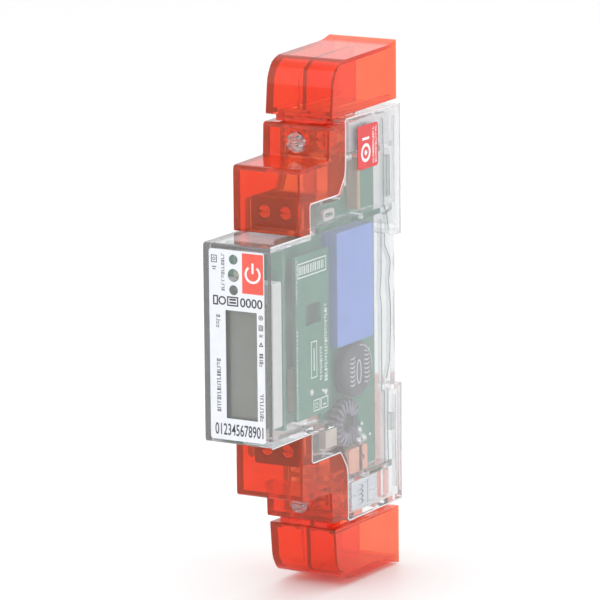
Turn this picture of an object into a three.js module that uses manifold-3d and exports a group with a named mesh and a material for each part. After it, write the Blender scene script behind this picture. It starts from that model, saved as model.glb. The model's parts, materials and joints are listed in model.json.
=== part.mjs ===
// One-module DIN-rail electricity meter, in millimetres.
// Origin: middle of the rail seat. +Z is up, the display looks along -Y, +X is to its right.
import * as THREE from 'three';
import { mergeVertices } from 'three/addons/utils/BufferGeometryUtils.js';
import Module from 'manifold-3d';

const wasm = await Module();
wasm.setup();

// Driving dimensions
const halfWidth = 8.75;
const sideWall = 1.2;
const edgeWall = 1.3;
const seamX = -6.9;
const seamGap = 0.05;
const noseFront = -56.8;
const noseTop = 23;
const signalStep = -38.7;
const shelfTop = 30.2;
const mainStep = -22.4;
const bodyTop = 47.2;
const backFace = 3.2;
const railTop = 17.7;
const railBottom = -19.2;
const hookDrop = 16.4;
const railFlangeSlot = 1.2;
const seatRelief = 0.15;
const seatLow = -17.5;
const partitionBase = 22.5;
const terminalPartition = 37.2;
const innerWall = halfWidth - sideWall;

const coverWall = 1.2;
const coverSignalFront = -43.3;
const coverShelf = 38.8;
const coverMainFront = -30;
const coverTop = 46.4;
const coverFoot = 23.3;
const coverGap = 0.15;

const capBottom = 48;
const capBack = 1.3;
const capWall = 1.25;

const boardLeft = 2.9;
const boardRight = 3.7;
const clampX = 4.3;
const clampZ = 42.3;
const signalPitch = 5.5;
const signalZ = 27.7;

const barFront = -15.2;
const barBack = -13.9;
const barInner = 4.1;
const barOuter = 7;
const barEnd = 45.4;
const barShoulder = 37.9;
const barNeck = 6.1;
const barRoom = 0.4;
const chokeY = -19.9;
const chokeZ = -24.5;
const channelHalf = 4.4;
const guideHalf = 5.4;

// Solids from closed three.js geometries
function toSolid(geometry) {
  const bare = geometry.clone();
  bare.deleteAttribute('normal');
  bare.deleteAttribute('uv');
  const merged = mergeVertices(bare, 1e-4);
  const vertProperties = new Float32Array(merged.attributes.position.array);
  const triVerts = new Uint32Array(merged.index.array);
  return new wasm.Manifold(new wasm.Mesh({ numProp: 3, vertProperties, triVerts }));
}

function toGeometry(solid) {
  const result = solid.getMesh();
  const geometry = new THREE.BufferGeometry();
  geometry.setAttribute('position', new THREE.BufferAttribute(new Float32Array(result.vertProperties), 3));
  geometry.setIndex(new THREE.BufferAttribute(new Uint32Array(result.triVerts), 1));
  geometry.computeVertexNormals();
  return geometry;
}

function block(x0, x1, y0, y1, z0, z1) {
  const geometry = new THREE.BoxGeometry(x1 - x0, y1 - y0, z1 - z0);
  geometry.translate((x0 + x1) / 2, (y0 + y1) / 2, (z0 + z1) / 2);
  return toSolid(geometry);
}

function rodAlongY(radius, y0, y1, x, z, sides = 24) {
  const geometry = new THREE.CylinderGeometry(radius, radius, y1 - y0, sides);
  geometry.translate(x, (y0 + y1) / 2, z);
  return toSolid(geometry);
}

function rodAlongX(radius, x0, x1, y, z, sides = 24) {
  const geometry = new THREE.CylinderGeometry(radius, radius, x1 - x0, sides);
  geometry.rotateZ(Math.PI / 2);
  geometry.translate((x0 + x1) / 2, y, z);
  return toSolid(geometry);
}

function rodAlongZ(radius, z0, z1, x, y, sides = 24) {
  const geometry = new THREE.CylinderGeometry(radius, radius, z1 - z0, sides);
  geometry.rotateX(Math.PI / 2);
  geometry.translate(x, y, (z0 + z1) / 2);
  return toSolid(geometry);
}

// A closed outline with rounded corners; every corner is [a, b, radius]
function roundedShape(corners, steps = 4) {
  const shape = new THREE.Shape();
  const count = corners.length;
  for (let i = 0; i < count; i += 1) {
    const here = new THREE.Vector2(corners[i][0], corners[i][1]);
    const before = corners[(i + count - 1) % count];
    const after = corners[(i + 1) % count];
    const radius = corners[i][2] || 0;
    const toBefore = new THREE.Vector2(before[0], before[1]).sub(here);
    const toAfter = new THREE.Vector2(after[0], after[1]).sub(here);
    const start = here.clone().add(toBefore.setLength(radius || 1e-9));
    const end = here.clone().add(toAfter.setLength(radius || 1e-9));
    if (i === 0) {
      shape.moveTo(radius ? start.x : here.x, radius ? start.y : here.y);
    } else {
      shape.lineTo(radius ? start.x : here.x, radius ? start.y : here.y);
    }
    if (radius) {
      for (let k = 1; k <= steps; k += 1) {
        const t = k / steps;
        const a = start.clone().multiplyScalar((1 - t) * (1 - t));
        a.add(here.clone().multiplyScalar(2 * t * (1 - t)));
        a.add(end.clone().multiplyScalar(t * t));
        shape.lineTo(a.x, a.y);
      }
    }
  }
  shape.closePath();
  return shape;
}

function circleHole(shape, a, b, radius) {
  const hole = new THREE.Path();
  hole.absarc(a, b, radius, 0, Math.PI * 2, true);
  shape.holes.push(hole);
}

// Outline in (y, z), thickness along X
function slabAcross(corners, x0, x1, steps = 4) {
  const shape = roundedShape(corners, steps);
  const geometry = new THREE.ExtrudeGeometry(shape, { depth: x1 - x0, bevelEnabled: false });
  const turn = new THREE.Matrix4();
  turn.makeBasis(new THREE.Vector3(0, 1, 0), new THREE.Vector3(0, 0, 1), new THREE.Vector3(1, 0, 0));
  geometry.applyMatrix4(turn);
  geometry.translate(x0, 0, 0);
  return toSolid(geometry);
}

// Outline in (x, z), thickness along Y
function slabFacing(corners, y0, y1, steps = 4, holes = []) {
  const shape = roundedShape(corners, steps);
  for (const [a, b, radius] of holes) {
    circleHole(shape, a, b, radius);
  }
  const options = { depth: y1 - y0, bevelEnabled: false, curveSegments: 8 };
  const geometry = new THREE.ExtrudeGeometry(shape, options);
  const turn = new THREE.Matrix4();
  turn.makeBasis(new THREE.Vector3(1, 0, 0), new THREE.Vector3(0, 0, 1), new THREE.Vector3(0, -1, 0));
  geometry.applyMatrix4(turn);
  geometry.translate(0, y1, 0);
  return toSolid(geometry);
}

function plastic(colour, roughness = 0.3, opacity = 1) {
  const options = { color: colour, roughness, metalness: 0 };
  if (opacity < 1) {
    options.transparent = true;
    options.opacity = opacity;
  }
  return new THREE.MeshStandardMaterial(options);
}

function metal(colour, roughness = 0.35) {
  return new THREE.MeshStandardMaterial({ color: colour, roughness, metalness: 1 });
}

const clearPlastic = plastic('#f4f7f8', 0.06, 0.3);
const redPlastic = plastic('#f9402a', 0.12, 0.7);
const labelWhite = plastic('#eceef2', 0.5);
const boardGreen = plastic('#3f9a74', 0.4);
const steel = metal('#b9c0c8', 0.3);
const brass = metal('#c9a877', 0.35);
const copper = metal('#c48a76', 0.4);
const blackResin = plastic('#26282b', 0.45);
const headerTan = plastic('#b99a6b', 0.5);

const parts = new THREE.Group();

function place(parent, name, solid, material) {
  const mesh = new THREE.Mesh(toGeometry(solid), material);
  mesh.name = name;
  parent.add(mesh);
  return mesh;
}

// Side outline of the housing, grown or shrunk by an inset
function housingOutline(inset) {
  const k = inset;
  const soft = Math.max(0.9 - k * 0.4, 0.3);
  return [
    [noseFront + k, -noseTop + k, soft],
    [noseFront + k, noseTop - k, soft],
    [signalStep + k, noseTop - k, 0],
    [signalStep + k, shelfTop - k, soft],
    [-25.2 + k, shelfTop - k, 0.8],
    [-22.9 + k, 34 - k * 0.4, 1],
    [mainStep + k, bodyTop - k, 0.5],
    [backFace - k, bodyTop - k, 0.6],
    [backFace - k, hookDrop + k, 0],
    [railFlangeSlot + k, hookDrop + k, 0],
    [railFlangeSlot + k, railTop + k, 0],
    [-k, railTop + k, 0],
    [-k, railBottom - k, 0],
    [backFace - k, railBottom - k, 0],
    [backFace - k, -bodyTop + k, 0.6],
    [mainStep + k, -bodyTop + k, 0.5],
    [-22.9 + k, -34 + k * 0.4, 1],
    [-25.2 + k, -shelfTop + k, 0.8],
    [signalStep + k, -shelfTop + k, soft],
    [signalStep + k, -noseTop + k, 0],
  ];
}

// The hollow of the housing: the outline shrunk by the wall, without the thin rail hook
function housingHollow(x0, x1) {
  const k = edgeWall;
  const corners = housingOutline(k);
  const kept = corners.filter((corner, index) => index < 8 || index > 11);
  kept.splice(8, 0, [backFace - k, railTop + k, 0], [-k, railTop + k, 0], [-k, railBottom - k, 0]);
  return slabAcross(kept, x0, x1, 3);
}

// A block given for the upper end, made at the end asked for
function blockAtEnd(end, x0, x1, y0, y1, z0, z1) {
  return end > 0 ? block(x0, x1, y0, y1, z0, z1) : block(x0, x1, y0, y1, -z1, -z0);
}

// The whole clear housing, before it is split into its box and its side lid
function wholeHousing() {
  const start = -innerWall - 0.2;
  const finish = innerWall + 0.2;
  const ribStart = boardRight + 0.3;
  let shell = slabAcross(housingOutline(0), -halfWidth, halfWidth, 3);
  shell = shell.subtract(housingHollow(-innerWall, innerWall));
  // floors between the electronics and the terminal chambers
  for (const [low, high] of [[start, boardLeft - 0.3], [ribStart, finish]]) {
    const innerLow = -partitionBase - edgeWall;
    const outerLow = -terminalPartition - edgeWall;
    shell = shell.add(block(low, high, -38.5, -0.8, partitionBase, partitionBase + edgeWall));
    shell = shell.add(block(low, high, -38.5, -27.2, innerLow, -partitionBase));
    shell = shell.add(block(low, high, -22.5, -0.8, terminalPartition, terminalPartition + edgeWall));
    shell = shell.add(block(low, high, -22.5, -0.8, outerLow, -terminalPartition));
  }
  // back walls, the channel of the rail clip and its two guide walls
  shell = shell.add(block(start, finish, -edgeWall, 0, railTop, bodyTop - 0.5));
  shell = shell.add(block(-guideHalf, guideHalf, -edgeWall - 0.1, -0.1, -bodyTop + 0.5, railBottom));
  shell = shell.subtract(block(-channelHalf, channelHalf, -0.1, backFace + 1, -bodyTop - 1, railBottom + 0.1));
  shell = shell.add(block(channelHalf, guideHalf, -0.3, backFace, -bodyTop, railBottom));
  shell = shell.add(block(-guideHalf, -channelHalf, -0.3, backFace, -bodyTop, railBottom));
  // the seat is relieved under the hook and under the clip, so that only its flat middle meets the rail
  const wide = halfWidth + 1;
  shell = shell.subtract(block(-wide, wide, -seatRelief, 0.5, hookDrop - 0.05, railTop));
  shell = shell.subtract(block(-wide, wide, -seatRelief, 0.5, railBottom, seatLow));
  // bars pass the floors with clearance; the left one runs through both inner floors
  const leftBar = [-barOuter - barRoom, -barInner + 0.5, barFront - barRoom, barBack + barRoom];
  const rightBar = [barInner - 0.5, barOuter + barRoom, barFront - barRoom, barBack + barRoom];
  shell = shell.subtract(block(...rightBar, 20, 26));
  for (const end of [1, -1]) {
    shell = shell.subtract(blockAtEnd(end, ...leftBar, 20, 26));
    shell = shell.subtract(blockAtEnd(end, ...leftBar, 36, 40));
    shell = shell.subtract(blockAtEnd(end, ...rightBar, 36, 40));
    // signal terminal pocket, screw holes, wire entries and the hole of the sealing screw
    shell = shell.subtract(blockAtEnd(end, -6.1, 6.1, signalStep - 1, -31, signalZ - 4, shelfTop + 1));
    shell = shell.subtract(rodAlongY(1.5, mainStep - 3, mainStep + 2, 0, end * clampZ, 20));
    for (const x of [-clampX, clampX]) {
      shell = shell.subtract(rodAlongY(2.45, mainStep - 3, mainStep + 2, x, end * clampZ));
      shell = shell.subtract(blockAtEnd(end, x - 2.15, x + 2.15, -18, -7.9, bodyTop - 2, bodyTop + 1));
    }
  }
  return shell;
}

// The left side lid or the rest of the housing, cut at the seam
function housingShell(isLid) {
  const low = isLid ? -halfWidth - 1 : seamX + seamGap;
  const high = isLid ? seamX - seamGap : halfWidth + 1;
  return wholeHousing().intersect(block(low, high, -100, 100, -100, 100));
}

const housing = new THREE.Group();
parts.add(housing);
place(housing, 'housing_left_shell', housingShell(true), clearPlastic);
place(housing, 'housing_right_shell', housingShell(false), clearPlastic);

// Front label with the display window and three light windows
const lightX = -0.8;
const lights = [[lightX, 19.7, 1.15], [lightX, 16.1, 1.5], [lightX, 12.7, 1.15]];
function frontLabel() {
  const sheet = [[-7.2, -22, 1], [7.2, -22, 1], [7.2, 21.8, 1], [-7.2, 21.8, 1]];
  const plate = slabFacing(sheet, noseFront - 0.15, noseFront, 4, lights);
  return plate.subtract(block(-3, 5.2, noseFront - 1, noseFront + 1, -17, 8));
}

function sideSticker() {
  const sheet = [[-17, 34.3, 0.9], [-7.5, 34.3, 0.9], [-7.5, 44.5, 0.9], [-17, 44.5, 0.9]];
  return slabAcross(sheet, halfWidth, halfWidth + 0.12);
}

place(housing, 'front_label', frontLabel(), labelWhite);
place(housing, 'side_sticker', sideSticker(), plastic('#e2453f', 0.45));

// Display stack behind the front wall
const display = new THREE.Group();
parts.add(display);
function displayReflector() {
  const frame = [
    [-6.9, -19.3, 0.4], [6.9, -19.3, 0.4], [6.9, 14.2, 0.4], [0.9, 14.2, 0],
    [0.9, 10.9, 0], [-2.5, 10.9, 0], [-2.5, 14.2, 0], [-6.9, 14.2, 0.4],
  ];
  return slabFacing(frame, -53.8, -49.9, 2);
}

function lightBody(x, z, radius) {
  const flange = rodAlongY(radius + 0.25, -51.4, -49.7, x, z, 20);
  return rodAlongY(radius, -55.2, -51.2, x, z, 20).add(flange);
}

place(display, 'display_glass', block(-4.5, 6.6, -55.3, -54.1, -18.6, 9.6), plastic('#8c9680', 0.12));
place(display, 'display_reflector', displayReflector(), plastic('#f1f2f0', 0.5));
place(display, 'display_board', block(-7.1, 7.1, -49.6, -48.6, -20.4, 21.2), boardGreen);
place(display, 'infrared_emitter', lightBody(lights[0][0], lights[0][1], 1.1), plastic('#3b3146', 0.15));
place(display, 'pulse_light', lightBody(lights[1][0], lights[1][1], 1.35), plastic('#f3e3a0', 0.2));
place(display, 'infrared_receiver', lightBody(lights[2][0], lights[2][1], 1.1), plastic('#2e2a30', 0.2));
place(display, 'display_header', block(0.2, 2.6, -48.4, -45.2, -17, -7.5), headerTan);

// Circuit boards
const boards = new THREE.Group();
parts.add(boards);
function mainBoard() {
  const outline = [
    [-1.9, 42, 0.4], [-6.4, 42, 0.4], [-6.4, 36.6, 0], [-21, 36.6, 0.4], [-21, 28.5, 0],
    [-30.6, 28.5, 0], [-30.6, 21.4, 0],
    [-45, 21.4, 0.4], [-45, -20.6, 0.4], [-27, -20.6, 0], [-27, -28.2, 0.4],
    [-21, -28.2, 0], [-21, -36.6, 0.4], [-6.4, -36.6, 0], [-6.4, -38.5, 0.4], [-1.9, -38.5, 0.4],
  ];
  const board = slabAcross(outline.reverse(), boardLeft, boardRight, 2);
  const capacitorWindow = block(0, 6, -25.8, -8.2, -6.2, 21.4);
  return board.subtract(capacitorWindow).subtract(block(0, 6, barFront - 0.6, barBack + 0.6, 30, 40));
}

function interfaceBoard() {
  const outline = [[-43.9, -19.6, 0.3], [-28.9, -19.6, 0.3], [-28.9, 18.6, 0.3], [-43.9, 18.6, 0.3]];
  const board = slabAcross(outline, 6.3, 7.1, 2);
  return board.subtract(block(6, 8, -39.4, -32.6, 1.9, 6.6));
}

// Insulated lead that loops out of the board and back
function signalLead() {
  const outer = [[-29.5, 24.3, 1.2], [-24.4, 24.3, 1.2], [-24.4, 26.9, 1.2], [-29.5, 26.9, 1.2]];
  const inner = [[-28.7, 25.1, 0.4], [-25.2, 25.1, 0.4], [-25.2, 26.1, 0.4], [-28.7, 26.1, 0.4]];
  const loop = slabAcross(outer, 5.4, 6.2).subtract(slabAcross(inner, 5, 7));
  const ends = block(3.9, 5.6, -28.3, -27.5, 24.3, 25.1).add(block(3.9, 5.6, -26.4, -25.6, 24.3, 25.1));
  return loop.add(ends);
}

place(boards, 'main_board', mainBoard(), boardGreen);
place(boards, 'interface_board', interfaceBoard(), boardGreen);
place(boards, 'board_header', block(3.9, 6.1, -42.6, -40, -17.6, -7.6), headerTan);
place(boards, 'metering_chip', block(1.2, 2.7, -41, -34, -17, -10), blackResin);
place(boards, 'signal_lead', signalLead(), labelWhite);

// Power supply pieces
function filmCapacitor() {
  const outline = [[-25.4, -5.8, 0.7], [-8.6, -5.8, 0.7], [-8.6, 21, 0.7], [-25.4, 21, 0.7]];
  return slabAcross(outline, -0.4, 7.3, 3);
}

function chokeRing(inner, outer, x0, x1, sides) {
  const ring = rodAlongX(outer, x0, x1, chokeY, chokeZ, sides);
  return ring.subtract(rodAlongX(inner, x0 - 1, x1 + 1, chokeY, chokeZ, sides));
}

function chokeWinding() {
  let sleeve = chokeRing(2.1, 5.8, 3.95, 7.35, 32);
  sleeve = sleeve.subtract(chokeRing(2.9, 5.1, 4.65, 6.65, 32));
  return sleeve.subtract(block(3, 8, chokeY + 3.4, chokeY + 7, chokeZ - 1.6, chokeZ + 1.6));
}

const supply = new THREE.Group();
parts.add(supply);
place(supply, 'film_capacitor', filmCapacitor(), plastic('#6d86c8', 0.3));
place(supply, 'varistor_disc', rodAlongX(6.7, 3.95, 7.3, -15.2, -12.7, 36), plastic('#35404c', 0.35));
place(supply, 'choke_core', chokeRing(3, 5, 4.75, 6.55, 28), plastic('#3c4444', 0.5));
place(supply, 'choke_winding', chokeWinding(), copper);
place(supply, 'ceramic_resistor', block(4, 7.3, -31.2, -26.1, -28.4, -24.2), plastic('#d8c9bb', 0.7));
place(supply, 'electrolytic_capacitor', rodAlongZ(3.1, 2, 15, -4.1, -33.5, 24), blackResin);

// Conductors: flat bars with a narrow end that goes into the clamp
function neutralBar(start) {
  const outline = [
    [barInner, start], [barOuter, start], [barOuter, barShoulder], [barNeck, barShoulder],
    [barNeck, barEnd], [barInner, barEnd],
  ];
  return slabFacing(outline, barFront, barBack, 1);
}

function phaseBar() {
  const outline = [
    [-barInner, -barEnd], [-barInner, barEnd], [-barNeck, barEnd], [-barNeck, barShoulder],
    [-barOuter, barShoulder], [-barOuter, -barShoulder], [-barNeck, -barShoulder], [-barNeck, -barEnd],
  ];
  const bar = slabFacing(outline, barFront, barBack, 1);
  return bar.subtract(block(-barNeck + 1, -3, -16, -13, -4, 4));
}

const conductors = new THREE.Group();
parts.add(conductors);
place(conductors, 'phase_bar', phaseBar(), copper);

// Screws: a slotted or crossed head on a plain shank, made along -Y from its seat
function terminalScrew(headRadius, headFront, headBack, shankRadius, tip, slot, crossed) {
  const head = rodAlongY(headRadius, headFront, headBack, 0, 0, 24);
  let screw = head.add(rodAlongY(shankRadius, headBack - 0.2, tip, 0, 0, 16));
  const reach = headRadius + 1;
  screw = screw.subtract(block(-reach, reach, headFront - 1, headFront + slot, -0.35, 0.35));
  if (crossed) {
    screw = screw.subtract(block(-0.35, 0.35, headFront - 1, headFront + slot, -1.5, 1.5));
  }
  return screw;
}

function clampCage() {
  const cage = block(-2.75, 2.75, -19, -7, -3.35, 3.35);
  let hollow = cage.subtract(block(-2.15, 2.15, -18.1, -7.8, -4, 4));
  hollow = hollow.subtract(rodAlongY(1.75, -20, -17, 0, 0, 16));
  return hollow;
}

function sealScrew() {
  let screw = rodAlongY(2.3, -30.3, -27.6, 0, 0, 24);
  screw = screw.add(rodAlongY(1.4, -27.8, -20.9, 0, 0, 16));
  screw = screw.subtract(rodAlongX(0.55, -3, 3, -29, 0, 12));
  return screw.subtract(block(-3, 3, -31, -29.9, -0.3, 0.3));
}

function signalBlock() {
  let body = block(-5.7, 5.7, -39.9, -31.6, -3.6, 3.4);
  for (const side of [-1, 1]) {
    const x = side * signalPitch / 2;
    body = body.subtract(rodAlongY(1.75, -41, -34.3, x, 0, 20));
    body = body.subtract(block(x - 1.4, x + 1.4, -37.4, -34.6, 0, 5));
  }
  return body;
}

// Upper terminal cover, open towards the housing
function terminalCover() {
  const g = coverGap;
  const outline = [
    [coverSignalFront, coverFoot, 0.5], [signalStep - g, coverFoot, 0], [signalStep - g, shelfTop + g, 0],
    [-25.2 - g, shelfTop + g, 0.8], [-22.9 - g, 34, 1], [mainStep - g, coverTop, 0],
    [coverMainFront + 0.3, coverTop, 0.9], [coverMainFront, coverShelf, 0.5],
    [coverSignalFront, coverShelf - 0.3, 1.1],
  ];
  const w = coverWall;
  const hollow = [
    [coverSignalFront + w, coverFoot - 2], [signalStep + 5, coverFoot - 2], [-15, 30],
    [-15, coverTop - w], [coverMainFront + w + 0.3, coverTop - w], [coverMainFront + w, coverShelf - w - 0.1],
    [coverSignalFront + w, coverShelf - w - 0.3],
  ];
  let cover = slabAcross(outline, -halfWidth, halfWidth, 3);
  cover = cover.subtract(slabAcross(hollow, -halfWidth + w, halfWidth - w, 1));
  return cover.subtract(rodAlongY(2.55, -32, -27, 0, clampZ, 28));
}

// Upper cable cap, open at the back and at the neck, with a middle divider
function cableCap() {
  const outline = [
    [-28.6, capBottom, 0.5], [capBack, capBottom + 0.5, 0.3], [capBack, 62.4, 0.4], [-2.4, 61.5, 1.5],
    [-22.5, 60.9, 0.5], [-25.6, 59.9, 1.5], [-27.7, 56.6, 1.6],
  ];
  const w = capWall;
  const hollow = [
    [-28.6 + w, capBottom - 1], [capBack + 2, capBottom - 1], [capBack + 2, 62.1 - w],
    [-2.4, 61.5 - w], [-22.2, 60.9 - w], [-24.8, 59.8 - w], [-26.4, 56.4],
  ];
  let cap = slabAcross(outline, -halfWidth, halfWidth, 3);
  cap = cap.subtract(slabAcross(hollow, -halfWidth + w, halfWidth - w, 1));
  // divider, its thick root and its foot
  const divider = [[-27.8, capBottom], [-3.6, capBottom], [-3.6, 60.8], [-22, 60.4], [-25, 59], [-27, 56]];
  cap = cap.add(slabAcross(divider, -0.5, 0.5, 1));
  cap = cap.add(slabAcross([[-27.9, capBottom], [-25.6, capBottom], [-25.2, 58.5], [-26.9, 56]], -1.2, 1.2, 1));
  cap = cap.add(block(-2.5, 2.5, -27.9, -25, capBottom, capBottom + 1.2));
  // rim along the side walls and the neck tongue
  for (const side of [-1, 1]) {
    const low = side > 0 ? innerWall - 1.2 : -innerWall - 0.3;
    const high = side > 0 ? innerWall + 0.3 : -innerWall + 1.2;
    cap = cap.add(block(low, high, -28, 0.4, capBottom + 0.4, capBottom + 1.4));
  }
  return cap.add(block(-6.2, 6.2, -28.2, -23.4, 46.7, capBottom + 0.9));
}

// Slide clip that hooks under the lower edge of the rail
function railClip() {
  const outline = [
    [0.2, -18.9], [1.3, -18.9], [1.3, -17.6], [2.6, -17.6], [2.6, -40], [3, -40.8], [3, -48.2],
    [1.7, -48.2], [1.7, -41], [0.2, -41],
  ];
  let clip = slabAcross(outline, -4, 4, 1);
  clip = clip.subtract(block(-1.2, 1.2, -1, 5, -47, -43.6));
  for (const side of [-1, 1]) {
    const low = side > 0 ? 2.6 : -3;
    clip = clip.subtract(block(low, low + 0.4, -1, 5, -37, -24));
  }
  return clip;
}

// Every terminal group is made for the upper end; the lower end is the same group turned half over
function terminalEnd(prefix, turned) {
  const end = new THREE.Group();
  if (turned) {
    end.rotation.y = Math.PI;
  }
  parts.add(end);
  const names = turned ? ['right', 'left'] : ['left', 'right'];
  place(end, `${prefix}_terminal_cover`, terminalCover(), redPlastic);
  place(end, `${prefix}_cable_cap`, cableCap(), redPlastic);
  const seal = place(end, `${prefix}_seal_screw`, sealScrew(), clearPlastic);
  seal.position.set(0, 0, clampZ);
  const signalBody = place(end, `${prefix}_signal_block`, signalBlock(), plastic('#4d6b45', 0.5));
  signalBody.position.set(0, 0, signalZ);
  for (const [index, side] of [-1, 1].entries()) {
    const cage = place(end, `${prefix}_${names[index]}_clamp`, clampCage(), steel);
    cage.position.set(side * clampX, 0, clampZ);
    const mainSolid = terminalScrew(2.2, -24.4, -21.4, 1.6, -15.6, 1.3, true);
    const mainScrew = place(end, `${prefix}_${names[index]}_clamp_screw`, mainSolid, steel);
    mainScrew.position.set(side * clampX, 0, clampZ);
    const signalSolid = terminalScrew(1.5, -39.5, -37.8, 1, -35.2, 0.9, false);
    const signalScrew = place(end, `${prefix}_${names[index]}_signal_screw`, signalSolid, steel);
    signalScrew.position.set(side * signalPitch / 2, 0, signalZ);
  }
}

terminalEnd('upper', false);
terminalEnd('lower', true);
place(conductors, 'upper_neutral_bar', neutralBar(24.9), brass);
const lowerBar = neutralBar(31).mirror([0, 0, 1]);
place(conductors, 'lower_neutral_bar', lowerBar, copper);
place(parts, 'rail_clip', railClip(), redPlastic);

export default parts;
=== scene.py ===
import bpy
import bmesh
import json
import math
import random
from mathutils import Matrix, Vector


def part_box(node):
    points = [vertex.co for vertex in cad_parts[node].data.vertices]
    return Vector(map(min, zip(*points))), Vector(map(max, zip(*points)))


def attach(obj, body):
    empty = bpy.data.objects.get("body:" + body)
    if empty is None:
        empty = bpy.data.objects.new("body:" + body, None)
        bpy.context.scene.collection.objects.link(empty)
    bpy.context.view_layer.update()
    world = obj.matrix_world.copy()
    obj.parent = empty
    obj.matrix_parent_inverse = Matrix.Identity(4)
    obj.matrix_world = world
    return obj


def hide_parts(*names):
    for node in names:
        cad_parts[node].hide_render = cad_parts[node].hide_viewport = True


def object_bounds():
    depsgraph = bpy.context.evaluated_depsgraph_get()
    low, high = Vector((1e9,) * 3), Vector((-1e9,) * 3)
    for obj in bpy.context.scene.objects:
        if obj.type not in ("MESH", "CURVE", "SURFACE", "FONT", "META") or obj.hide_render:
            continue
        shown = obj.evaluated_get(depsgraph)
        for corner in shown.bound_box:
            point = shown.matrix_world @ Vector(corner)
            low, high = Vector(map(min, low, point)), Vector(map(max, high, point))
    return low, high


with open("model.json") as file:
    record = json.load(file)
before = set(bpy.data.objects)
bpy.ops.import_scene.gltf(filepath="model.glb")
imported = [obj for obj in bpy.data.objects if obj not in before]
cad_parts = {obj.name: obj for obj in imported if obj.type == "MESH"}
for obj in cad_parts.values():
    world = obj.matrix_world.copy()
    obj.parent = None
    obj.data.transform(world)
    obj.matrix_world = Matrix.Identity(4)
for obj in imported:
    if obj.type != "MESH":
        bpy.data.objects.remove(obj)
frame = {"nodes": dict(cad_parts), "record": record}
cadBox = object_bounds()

mm = 0.001
nodes = frame["nodes"]
scene = bpy.context.scene


# camera and studio

cameraLook = {
    "azimuth": 30.37, "elevation": 11.63, "roll": -0.555,   # degrees
    "distance": 1.1807, "nearest": 0.05,                    # metres
    "lens": 314.7, "sensor": 36.0,                          # millimetres
    "aside": 0.01417, "above": 0.01017,                     # its aim, from the middle of the front step
}
studio = {
    "skyColor": (1.0, 1.0, 1.0), "skyStrength": 0.99,
    "aim": (0.0, -0.03, 0.0),                               # where the lamps point
    "lamps": {
        "key_light": {"at": (-0.50, -0.80, 0.60), "size": 0.95, "power": 2.2},
        "side_light": {"at": (0.90, -0.15, 0.25), "size": 0.60, "power": 1.3},
        "top_light": {"at": (0.05, 0.10, 0.95), "size": 0.70, "power": 1.6},
    },
    "floorDrop": 0.0004, "floorSize": 8.0,
}


def placeCamera(look):
    az = math.radians(look["azimuth"])
    el = math.radians(look["elevation"])
    roll = math.radians(look["roll"])
    back = Vector((math.sin(az) * math.cos(el), -math.cos(az) * math.cos(el), math.sin(el)))
    right = Vector((math.cos(az), math.sin(az), 0.0))
    up = back.cross(right)
    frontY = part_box("housing_right_shell")[0][1]
    place = Vector((0.0, frontY, 0.0)) + back * look["distance"] + right * look["aside"] + up * look["above"]
    side = right * math.cos(roll) + up * math.sin(roll)
    head = up * math.cos(roll) - right * math.sin(roll)
    data = bpy.data.cameras.new("camera")
    data.lens = look["lens"]
    data.sensor_width = look["sensor"]
    data.clip_start = look["nearest"]
    camera = bpy.data.objects.new("camera", data)
    scene.collection.objects.link(camera)
    camera.matrix_world = Matrix((
        (side.x, head.x, back.x, place.x),
        (side.y, head.y, back.y, place.y),
        (side.z, head.z, back.z, place.z),
        (0.0, 0.0, 0.0, 1.0),
    ))
    scene.camera = camera


def softLight(name, look, target):
    data = bpy.data.lights.new(name, "AREA")
    data.shape = "DISK"
    data.size = look["size"]
    data.energy = look["power"]
    lamp = bpy.data.objects.new(name, data)
    scene.collection.objects.link(lamp)
    lamp.location = look["at"]
    aim = Vector(target) - lamp.location
    lamp.rotation_euler = aim.to_track_quat("-Z", "Y").to_euler()


def buildStudio(look):
    world = bpy.data.worlds.new("studio")
    world.use_nodes = True
    sky = world.node_tree.nodes["Background"]
    sky.inputs["Color"].default_value = (*look["skyColor"], 1.0)
    sky.inputs["Strength"].default_value = look["skyStrength"]
    scene.world = world
    scene.view_settings.view_transform = "Standard"
    for name, lamp in look["lamps"].items():
        softLight(name, lamp, look["aim"])
    low = cadBox[0][2] - look["floorDrop"]
    bpy.ops.mesh.primitive_plane_add(size=look["floorSize"], location=(0.0, 0.0, low))
    floor = bpy.context.object
    floor.name = "studio_floor"
    floor.data.materials.append(floorFinish(floorLook))


# finishes

def newFinish(name):
    finish = bpy.data.materials.new(name)
    finish.use_nodes = True
    tree = finish.node_tree
    tree.nodes.clear()
    out = tree.nodes.new("ShaderNodeOutputMaterial")
    shader = tree.nodes.new("ShaderNodeBsdfPrincipled")
    tree.links.new(shader.outputs[0], out.inputs["Surface"])
    return finish, tree, shader, out


def grain(tree, scale, detail=3.0, stretch=(1.0, 1.0, 1.0)):
    coords = tree.nodes.new("ShaderNodeTexCoord")
    mapping = tree.nodes.new("ShaderNodeMapping")
    mapping.inputs["Scale"].default_value = stretch
    noise = tree.nodes.new("ShaderNodeTexNoise")
    noise.inputs["Scale"].default_value = scale
    noise.inputs["Detail"].default_value = detail
    tree.links.new(coords.outputs["Object"], mapping.inputs["Vector"])
    tree.links.new(mapping.outputs[0], noise.inputs["Vector"])
    return noise


def ramp(tree, source, stops):
    node = tree.nodes.new("ShaderNodeValToRGB")
    ends = node.color_ramp.elements
    for index, (position, color) in enumerate(stops):
        element = ends[index] if index < 2 else ends.new(position)
        element.position = position
        element.color = (*color, 1.0)
    tree.links.new(source, node.inputs["Fac"])
    return node


def spread(tree, source, low, high):
    node = tree.nodes.new("ShaderNodeMapRange")
    node.inputs["To Min"].default_value = low
    node.inputs["To Max"].default_value = high
    tree.links.new(source, node.inputs["Value"])
    return node


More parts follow.
